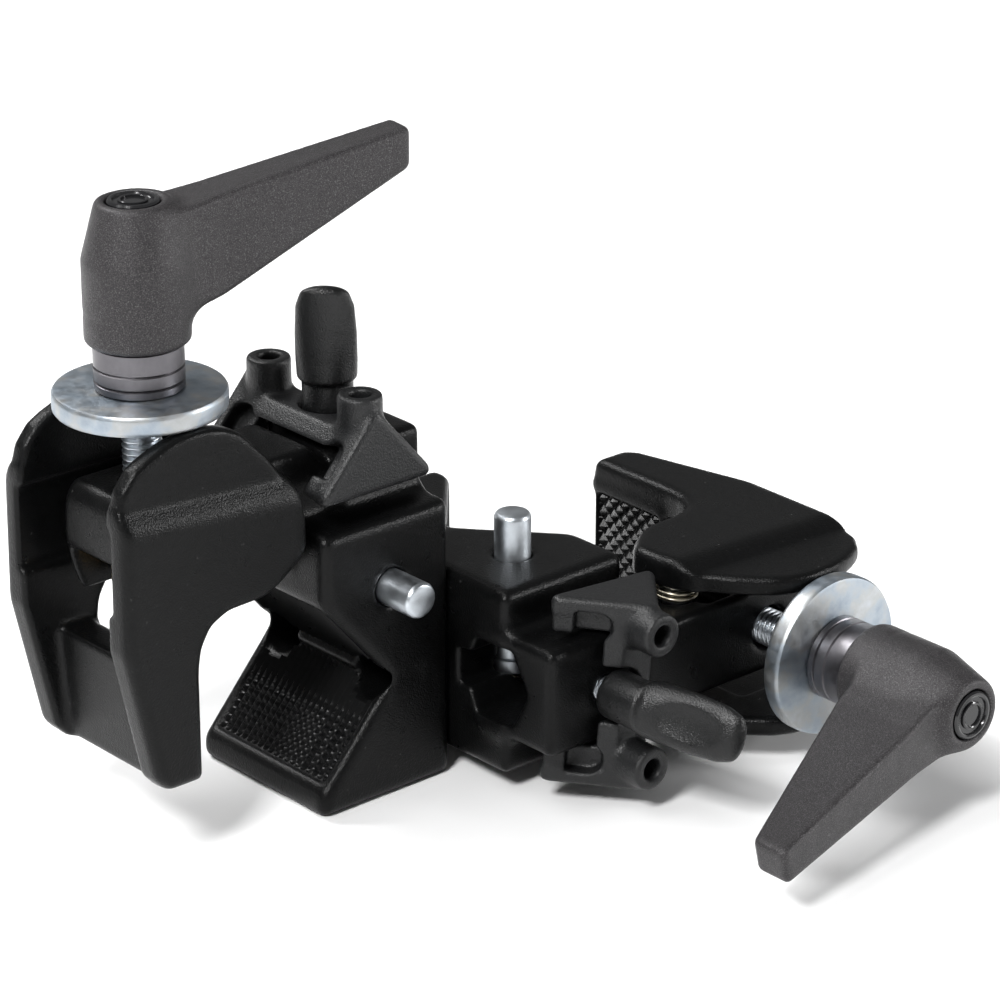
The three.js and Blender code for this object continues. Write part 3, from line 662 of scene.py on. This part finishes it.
for side in SIDES:
    pin = turned(rod(3.4, -19.4, 16.8, 0.5), "v", PIVOT)
    stand_in("pivot_pin", side, "body", pin, ground_steel, 30)
    nut = turned([(4.0, 52.4), (6.4, 52.4), (6.8, 52.8), (6.8, 65.1), (6.4, 65.5), (4.0, 65.5), (4.0, 52.4)],
                 "w", (SCREW_U, 0))
    stand_in("brass_nut", side, "body", nut, brass, 30)

# Clamp screw: an M8 rolled thread, 1.25 mm pitch, from below the nut up into the lever's collar.
PITCH = 1.25
WASHER_FOOT = PIVOT[1] + CAM_HEIGHT + 0.02
WASHER_TOP = WASHER_FOOT + 4.2
HUB_FOOT = WASHER_TOP + 9.3


def threaded(radius, pitch, start, end, centre, count=40):
    """A right-hand V thread along w: radius falls by the thread's depth as a triangle wave of
    height / pitch less the share of a turn, fading out over one pitch at each end."""
    depth = 0.55 * pitch
    height = np.linspace(start, end, int((end - start) / pitch * 8) + 1)
    angle = np.arange(count) * 2 * math.pi / count
    wave = sawtooth(height[:, None] / pitch - angle / (2 * math.pi), 1)
    crest = np.clip(wave * 1.25, 0, 1)
    fade = np.clip((height - start) / pitch, 0, 1) * np.clip((end - height) / pitch, 0, 1)
    body = radius - depth * (1 - crest * fade[:, None])
    rows = len(height)
    points = np.stack([centre[0] + body * np.cos(angle), centre[1] + body * np.sin(angle),
                       np.broadcast_to(height[:, None], body.shape)], -1).reshape(-1, 3)
    k = np.arange(count)
    ahead = (k + 1) % count
    row = np.arange(rows - 1)[:, None] * count
    quads = np.stack([row + k, row + ahead, row + ahead + count, row + k + count], -1).reshape(-1, 4)
    faces = [tuple(quad) for quad in quads] + [tuple(k[::-1]), tuple((rows - 1) * count + k)]
    return points, faces


for side in SIDES:
    screw = threaded(3.92, PITCH, 51.6, HUB_FOOT + 7.3, (SCREW_U, 0))
    stand_in("clamp_screw", side, "spindle", screw, zinc_steel, 40)

# Pressure washer: a thick turned disc that rides on both cam plates, zinc plated with the blue-grey
# clouds of clear passivation.


def clouded_zinc():
    """Zinc plate whose colour drifts from blue-grey to pale grey, slightly uneven in sheen."""
    material, nodes, links, surface = finish("passivated_zinc", (0.42, 0.46, 0.5), 0.42, 1.0)
    clouds = grain(nodes, links, 130, 5.0, 0.6)
    tint = ramp(nodes, links, clouds, [(0.3, (0.26, 0.31, 0.36)), (0.48, (0.36, 0.4, 0.44)),
                                       (0.56, (0.4, 0.41, 0.41)), (0.7, (0.46, 0.49, 0.52))])
    links.new(tint, surface.inputs["Base Color"])
    links.new(spread(nodes, links, grain(nodes, links, 500, 4.0), 0.36, 0.52), surface.inputs["Roughness"])
    relief(nodes, links, surface, grain(nodes, links, 1800, 3.0), 0.25, 0.00006)
    return material


passivated_zinc = clouded_zinc()

for side in SIDES:
    r, t0, t1 = 16.8, WASHER_FOOT, WASHER_TOP
    washer = turned([(4.3, t0), (r - 0.9, t0), (r - 0.35, t0 + 0.15), (r - 0.05, t0 + 0.6), (r, t0 + 1.1),
                     (r, t1 - 1.1), (r - 0.05, t1 - 0.6), (r - 0.35, t1 - 0.15), (r - 0.9, t1), (4.3, t1),
                     (4.3, t0)], "w", (SCREW_U, 0), 128)
    stand_in("pressure_washer", side, "washer", washer, passivated_zinc, 35)

# Lever collar: the steel insert the screw is fixed in. Ring grooves show between washer and hub, and
# its stem, plain here, is hidden in the hub.
for side in SIDES:
    f, r, hub = WASHER_TOP + 0.1, 8.7, HUB_FOOT
    collar = turned([(4.1, f), (r - 0.3, f), (r, f + 0.3), (r, f + 1.5), (r - 0.5, f + 1.8), (r, f + 2.1),
                     (r, f + 4.3), (r - 0.35, f + 4.6), (r, f + 4.9), (r, hub - 0.5), (r - 0.2, hub - 0.3),
                     (6.2, hub - 0.3), (6.2, hub + 11.7), (5.9, hub + 12), (2.6, hub + 12), (2.6, hub + 7.6),
                     (4.1, hub + 7.6), (4.1, f)], "w", (SCREW_U, 0), 96)
    fit(solid_mesh(f"{side}_lever_collar_look", side, *collar, blackened_steel, 30), side, "spindle",
        "lever_insert", "lever_insert")
    bolt = turned([(0, hub + 7.9), (2.4, hub + 7.9), (2.4, hub + 22.2), (4.1, hub + 22.2), (4.3, hub + 22.4),
                   (4.3, hub + 25.2), (4.1, hub + 25.4), (2, hub + 25.4), (2, hub + 23.6), (0, hub + 23.6)],
                  "w", (SCREW_U, 0), 48)
    fit(solid_mesh(f"{side}_lever_screw_look", side, *bolt, zinc_steel, 30), side, "spindle",
        "lever_retaining_screw", "lever_retaining_screw")

# Ratchet levers: a zinc die casting with a tapered hub and a square-ended arm that rises outwards,
# sprayed dark grey with a fine sparkle. The mould's parting line shows round the hub.
LEVER_ANGLE = {"left": -9.1, "right": 12.0}
HUB_HEIGHT = 27.7
HUB_RADIUS = 10.2
TAPER_START = 16.4
LEVER_LENGTH = 58.1


def charcoal_coat():
    """Dark warm grey with fine light and dark grains and a soft sheen."""
    material, nodes, links, surface = finish("charcoal_lever_coat", (0.036, 0.034, 0.036), 0.42, 0.3)
    fine = grain(nodes, links, 4200, 2.0, 0.7)
    colour = ramp(nodes, links, fine, [(0.32, (0.014, 0.013, 0.014)), (0.55, (0.034, 0.032, 0.0335)),
                                       (0.7, (0.1, 0.095, 0.098))])
    links.new(colour, surface.inputs["Base Color"])
    links.new(spread(nodes, links, grain(nodes, links, 300, 3.0), 0.36, 0.48), surface.inputs["Roughness"])
    relief(nodes, links, surface, fine, 0.8, 0.00014)
    surface.inputs["Specular IOR Level"].default_value = 0.35
    return material


charcoal = charcoal_coat()


def lever_surface():
    """A hub turned about w, with a wedge-shaped arm along -u joined to it by a fillet, then bored."""
    step = 0.42
    low, high = (-LEVER_LENGTH - 2, -13, HUB_FOOT - 2), (13, 13, HUB_FOOT + 36)
    u, v, w = block_of_space(low, high, step)
    h = w - HUB_FOOT
    radius = np.hypot(u, v)
    taper = np.where(h > TAPER_START, HUB_RADIUS - (h - TAPER_START) * 0.262, HUB_RADIUS)
    hub = both(0.8, radius - taper, between(h, 0, HUB_HEIGHT))
    groove = both(0, np.abs(radius - HUB_RADIUS) - 0.22, np.abs(h - 6) - 0.22)
    reach = -u
    top = 25.0 + reach * 0.141
    foot = np.where(reach < 16, 3.6 + reach * 0.22, 7.1 + (reach - 16) * 0.4206)
    half = np.interp(reach, [0, 9, 16, LEVER_LENGTH], [7.4, 6.3, 5.4, 3.7])
    arm = both(1.1, (h - top) * 0.99, (foot - h) * 0.92, np.abs(v) - half,
               between(reach, 0, LEVER_LENGTH))
    lever = either(3.2, without(hub, groove), arm)
    lever = without(lever, both(0, radius - 6.5, h - 13.4))
    lever = without(lever, radius - 2.8)
    lever = without(lever, both(0, radius - 5.25, 17.3 - h))
    return cast_surface(lever, low, step, 0.4 / step)


def swung(points, degrees, about, lift=0.0):
    """Points drawn about an axis along w, turned by that angle, then moved out to u = about and up."""
    turn = math.radians(degrees)
    u, v, w = points.T
    return np.stack([about + u * math.cos(turn) - v * math.sin(turn),
                     u * math.sin(turn) + v * math.cos(turn), w + lift], 1)


points, faces = lever_surface()
for side in SIDES:
    lever = (swung(points, LEVER_ANGLE[side], SCREW_U), faces)
    stand_in("ratchet_lever", side, "lever", lever, charcoal)

# Lever caps: a glossy black button pressed into the top of each hub, with a raised rim and a plain
# raised ring inside it.


def glossy_cap():
    """Near-black glossy plastic, faintly uneven."""
    material, nodes, links, surface = finish("glossy_black_cap", (0.012, 0.012, 0.013), 0.16)
    relief(nodes, links, surface, grain(nodes, links, 700, 2.0), 0.08, 0.0001)
    return material


gloss_black = glossy_cap()
for side in SIDES:
    top = HUB_FOOT + HUB_HEIGHT
    cap = turned([(0, top - 1.6), (5.0, top - 1.6), (5.0, top - 0.2), (4.7, top + 0.2), (4.3, top + 0.28),
                  (4.0, top + 0.15), (3.8, top - 0.25), (0, top - 0.25)], "w", (SCREW_U, 0), 64)
    stand_in("lever_cap", side, "lever", cap, gloss_black, 25)
    ring = turned([(2.3, top - 0.4), (2.9, top - 0.4), (2.9, top + 0.1), (2.7, top + 0.2), (2.5, top + 0.2),
                   (2.3, top + 0.1), (2.3, top - 0.4)], "w", (SCREW_U, 0), 48)
    fit(solid_mesh(f"{side}_lever_cap_ring", side, *ring, gloss_black, 25), side, "lever", "lever_cap")

# Springs: round wire wound on a helix, in the lever's hub, behind the socket pin, and round the pivot
# where it opens the jaw. They keep their length, also when the lever lifts or the pin goes in.


def wound(coil_radius, wire, start, end, turns, axis, centre):
    """Round wire on a helix: a circle of the wire's radius carried along the helix, its ends closed."""
    rows, sides = int(turns * 40) + 1, 12
    t = np.linspace(0, 1, rows)
    angle = t * turns * 2 * math.pi
    rise = (end - start - 2 * wire) / (2 * math.pi * turns)
    along = start + wire + t * (end - start - 2 * wire)
    slope = math.hypot(coil_radius, rise)
    k = np.arange(sides) * 2 * math.pi / sides
    out = coil_radius + wire * np.cos(k)[None, :]
    lift = wire * np.sin(k)[None, :] * coil_radius / slope
    lean = wire * np.sin(k)[None, :] * rise / slope
    a = out * np.cos(angle)[:, None] + lean * np.sin(angle)[:, None]
    b = out * np.sin(angle)[:, None] - lean * np.cos(angle)[:, None]
    level = along[:, None] + lift
    ordered = (a + centre[0], level, b + centre[1]) if axis == "v" else (a + centre[0], b + centre[1], level)
    points = np.stack(ordered, -1).reshape(-1, 3)
    n = np.arange(sides)
    row = np.arange(rows - 1)[:, None] * sides
    quads = np.stack([row + n, row + (n + 1) % sides, row + (n + 1) % sides + sides, row + n + sides], -1)
    faces = [tuple(q) for q in quads.reshape(-1, 4)] + [tuple(n[::-1]), tuple((rows - 1) * sides + n)]
    return points, faces


for side in SIDES:
    jaw_spring = wound(4.25, 0.5, 9.65, 13.3, 2.25, "v", PIVOT)
    stand_in("opening_spring", side, "body", jaw_spring, wire_steel)
    lever_spring = wound(3.55, 0.45, HUB_FOOT + 17.5, HUB_FOOT + 22, 3.5, "w", (SCREW_U, 0))
    stand_in("lever_spring", side, "spindle", lever_spring, wire_steel)
    pin_spring = wound(3.3, 0.45, -17.2, -5.1, 4.5, "v", PIN_AT)
    stand_in("pin_spring", side, "body", pin_spring, wire_steel)

# Socket hardware: the spring pin that locks the stud, with its bright, chamfered end standing out of
# the casting, and the plug that closes its bore at the far side.
for side in SIDES:
    end = HALF_WIDTH + 9.1
    pin = turned([(0, -8), (1.8, -8), (2, -7.8), (2, -5), (4.4, -5), (4.6, -4.8), (4.6, -2.2), (4.4, -2),
                  (3.75, -2), (3.75, 4.2), (2.1, 5.2), (2.1, 10), (3.75, 11), (3.75, end - 1.0),
                  (3.6, end - 0.55), (3.3, end - 0.2), (2.8, end), (0, end)], "v", PIN_AT)
    stand_in("spring_pin", side, "pin", pin, zinc_steel, 25)
    plug = turned([(0, -19.8), (1.4, -19.8), (1.6, -19.6), (1.6, -18.8), (4.7, -18.8), (4.95, -18.6),
                   (4.95, -17.4), (0, -17.4)], "v", PIN_AT)
    stand_in("pin_plug", side, "body", plug, zinc_steel, 25)

# Wing screws: an M6 thread moulded into a black plastic knob, a round hub with one broad leaf that
# leans away from the axis and is dished for the thumb.
WING_FOOT = {"left": 73.5, "right": 75.0}
WING_TURN = {"left": 48.0, "right": -15.0}


def moulded_plastic(name, base, roughness):
    """Spark-eroded plastic: an even fine grain with a slightly uneven sheen."""
    material, nodes, links, surface = finish(name, base, roughness)
    links.new(spread(nodes, links, grain(nodes, links, 350, 3.0), roughness - 0.07, roughness + 0.08),
              surface.inputs["Roughness"])
    fine = grain(nodes, links, 2800, 2.0)
    dark = tuple(0.8 * c for c in base)
    bright = tuple(1.25 * c for c in base)
    links.new(ramp(nodes, links, fine, [(0.35, dark), (0.7, bright)]), surface.inputs["Base Color"])
    relief(nodes, links, surface, fine, 0.8, 0.00018)
    surface.inputs["Specular IOR Level"].default_value = 0.38
    return material


knob_plastic = moulded_plastic("black_knob_plastic", (0.004, 0.0042, 0.0044), 0.34)


def knob_surface():
    """A round hub along w under a flattened leaf that leans to +u, lips over the hub there and is dished
    for the thumb on its other side."""
    step = 0.3
    low, high = (-9, -9, -1.5), (13, 9, 33)
    u, v, h = block_of_space(low, high, step)
    hub = both(0.6, np.hypot(u, v) - 5.15, between(h, 0, 10.8))
    stations = [8.8, 9.8, 14, 20, 26, 29, 30.4]
    lean = np.interp(h, stations, [0.6, 1, 2, 3.5, 5, 5.9, 6.3])
    half = np.interp(h, stations, [5.4, 6, 6.15, 6.15, 5.8, 4.8, 3.1])
    thick = np.interp(h, stations, [4.9, 5.3, 4.2, 3.2, 2.5, 2, 1.3])
    leaf = (np.sqrt(((u - lean) / thick) ** 2 + (v / half) ** 2) - 1) * np.minimum(thick, half) * 0.9
    leaf = both(1.0, leaf, between(h, 8.9, 30.3))
    dish = np.sqrt(((u - lean + 5.3) / 3.6) ** 2 + (v / 7.2) ** 2 + ((h - 22.5) / 9.5) ** 2) - 1
    leaf = without(leaf, dish * 3.0)
    knob = either(0.5, hub, leaf)
    ring_height, ring_radius, ring_line, ring_face = 5.6, 1.3, 0.18, 5.19
    mark = both(0, np.abs(np.hypot(v, h - ring_height) - ring_radius) - ring_line, 4.6 + u)
    knob = either(0.2, knob, both(0, mark, np.hypot(u, v) - ring_face))
    knob = without(knob, both(0, np.hypot(u, v) - 3.1, h - 6.3))
    return cast_surface(knob, low, step, 0.35 / step)


points, faces = knob_surface()
for side in SIDES:
    foot = WING_FOOT[side]
    knob = (swung(points, WING_TURN[side], WING_U, foot), faces)
    stand_in("wing_knob", side, "wing_knob", knob, knob_plastic)
    screw = threaded(2.85, 1.0, foot - 10.3, foot + 6, (WING_U, 0), 32)
    stand_in("wing_screw", side, "wing_screw", screw, zinc_steel, 40)

# Wedge inserts: dark grey nylon saddles that turn the V into a flat seat, parked across the boss with
# their two hollow pegs up. A D-shaped recess is cored in each end of both slopes to thin the walls.
WEDGE_TILT = {"left": 0.0, "right": -4.5}
WEDGE_FOOT = 65.5
WEDGE_APEX = 80.8
WEDGE_MIDDLE = 18.0
WEDGE_HALF = 19.6
# The foot of a slope, as its distance from the middle and its height, and the slope's outward normal.
SLOPE_FOOT = (13.2, 66.9)
SLOPE_FACE = (0.75, 0.661)
wedge_nylon = moulded_plastic("grey_wedge_nylon", (0.008, 0.0083, 0.0088), 0.4)


def wedge_surface():
    """A triangular prism along v with its middle cut down to a saddle, two pegs, and the cored pockets."""
    step = 0.38
    low, high = (2, -22, WEDGE_FOOT - 2), (34, 22, 87)
    u, v, w = block_of_space(low, high, step)
    span = np.abs(v)
    outline = [(5, WEDGE_FOOT), (31, WEDGE_FOOT), (31.2, WEDGE_FOOT + 1.4), (18.6, WEDGE_APEX + 0.4),
               (17.4, WEDGE_APEX + 0.4), (4.8, WEDGE_FOOT + 1.4)]
    wedge = both(0.9, outline_distance(rounded(outline, 1.0), u, w), span - WEDGE_HALF)
    saddle = both(0, span - 14.0, 77.4 - w)
    ridge = both(0.8, wedge, between(span, 16.4, WEDGE_HALF))
    wedge = either(1.6, without(wedge, saddle), ridge)
    peg = both(0.5, np.hypot(u - WEDGE_MIDDLE, span - PEG_OFFSET) - 4.5, between(w, 69, 84.3))
    wedge = either(1.3, wedge, peg)
    half_u = np.abs(u - WEDGE_MIDDLE)
    out = (half_u - SLOPE_FOOT[0]) * SLOPE_FACE[0] + (w - SLOPE_FOOT[1]) * SLOPE_FACE[1]
    up = (SLOPE_FOOT[0] - half_u) * SLOPE_FACE[1] + (w - SLOPE_FOOT[1]) * SLOPE_FACE[0]
    recess = both(0.3, 3.9 - up, np.hypot(np.maximum(up - 8.5, 0), span - 14.1) - 2.9, -2.8 - out)
    wedge = without(wedge, recess)
    under = both(0.8, span - 12.2, w - 73.85)
    wedge = without(wedge, under)
    wedge = without(wedge, np.hypot(u - WEDGE_MIDDLE, span - PEG_OFFSET) - 2.2)
    stem = np.minimum(np.hypot(u - WING_U, v) - 5.8, both(0, span - 5.8, u - WING_U))
    wedge = without(wedge, both(0, stem, between(w, 60, 90)))
    return cast_surface(wedge, low, step, 0.4 / step)


points, faces = wedge_surface()
for side in SIDES:
    wedge = (swung(points - (WING_U, 0, 0), WEDGE_TILT[side], WING_U), faces)
    stand_in("wedge_insert", side, "body", wedge, wedge_nylon)

# Swivel: a steel stud through both backs and the zinc-plated friction disc between them, both hidden
# but for the disc's rim. Their solids are right as they are and only take the metal.
for node in ("swivel_stud", "swivel_friction_disc"):
    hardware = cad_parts[node]
    hardware.data.materials.clear()
    hardware.data.materials.append(passivated_zinc)
